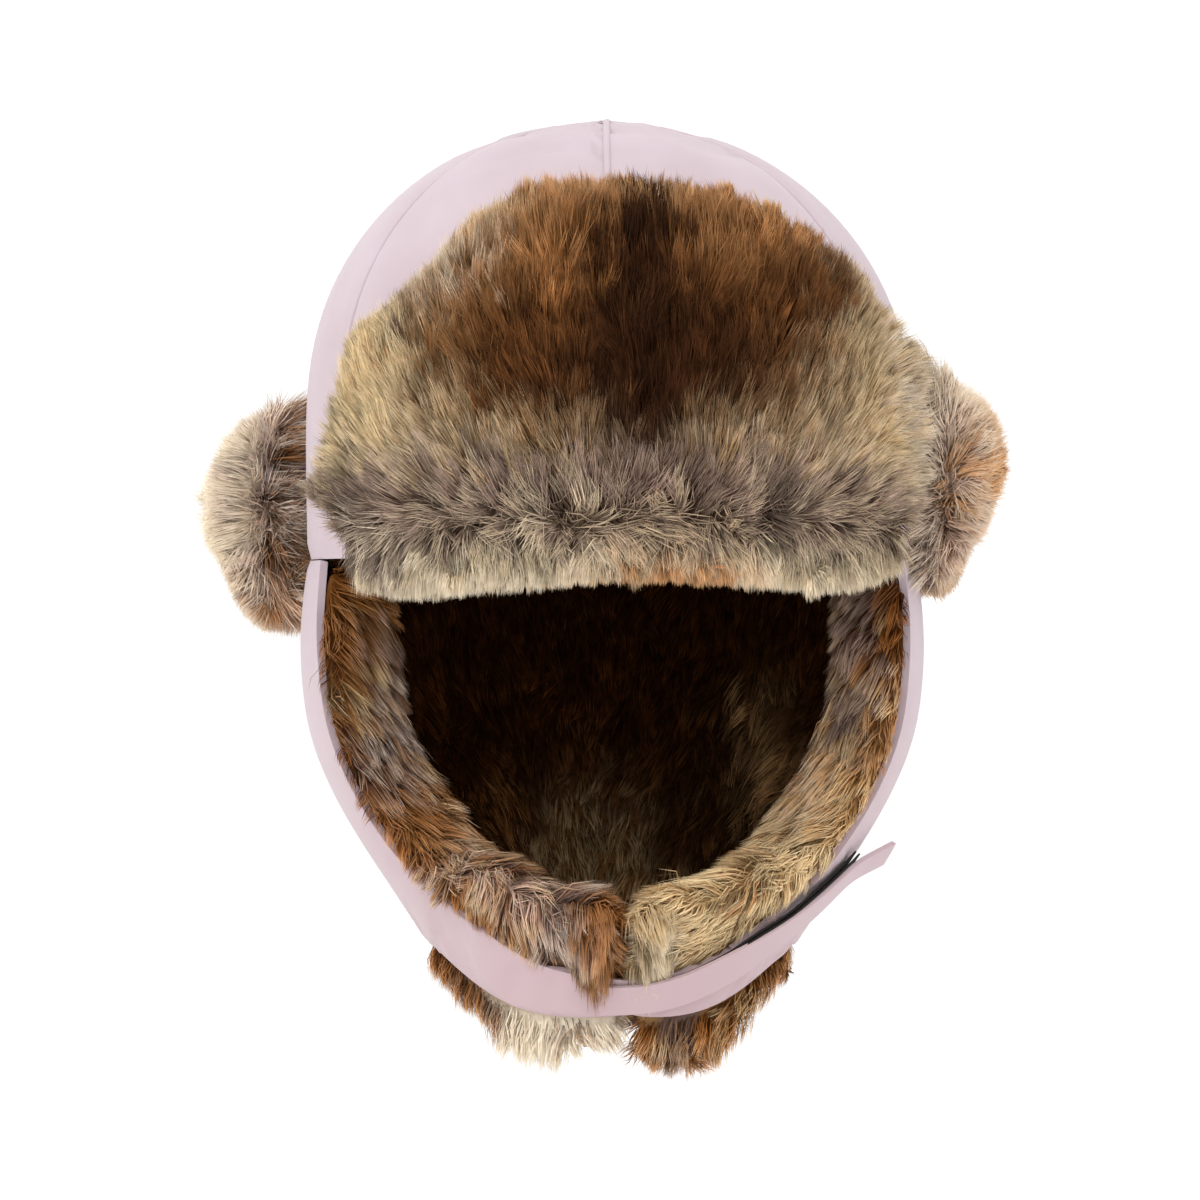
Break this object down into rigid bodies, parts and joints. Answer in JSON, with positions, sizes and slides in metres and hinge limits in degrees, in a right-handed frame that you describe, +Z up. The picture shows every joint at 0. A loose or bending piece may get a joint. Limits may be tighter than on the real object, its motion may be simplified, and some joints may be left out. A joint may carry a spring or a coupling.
{
  "type": "trapper hat",
  "caption": "Padded cloth winter hat with a turned-up fur front flap, a turned-up fur cuff and fur-lined ear flaps closed under the chin by a strap.",
  "frame": {"origin": "middle of the crown's lower edge, where the hat sits on the head at brow height", "axes": "+Z up, -Y the way the face opening looks, +X to the right of someone looking at the face opening"},
  "size_m": [0.2649, 0.2737, 0.3035],
  "materials": {
    "pink_cloth": "pale pink fine-woven shell cloth over thin padding, matt, slightly smooth",
    "dark_plush": "dark brown short plush lining",
    "brown_fur": "deep faux fur, dark brown and chestnut with grey and cream bands and tan tips",
    "cream_fur": "deep faux fur, grey at the middle, cream outside with brown tips",
    "black_tape": "black hook-and-loop tape, matt and bristly"
  },
  "bodies": {
    "root": {"crown_gore_1": "pink_cloth", "crown_gore_2": "pink_cloth", "crown_gore_3": "pink_cloth", "crown_gore_4": "pink_cloth", "crown_gore_5": "pink_cloth", "crown_gore_6": "pink_cloth", "crown_lining": "dark_plush", "ear_flap_left": "pink_cloth", "ear_flap_right": "pink_cloth", "nape_panel": "pink_cloth", "ear_flap_fur_left": "brown_fur", "ear_flap_fur_right": "brown_fur", "nape_fur": "brown_fur", "front_flap": "brown_fur", "cuff": "pink_cloth", "cuff_fur": "cream_fur", "chin_strap": "pink_cloth", "loop_tape": "black_tape", "hook_tape": "black_tape"}
  },
  "joints": []
}
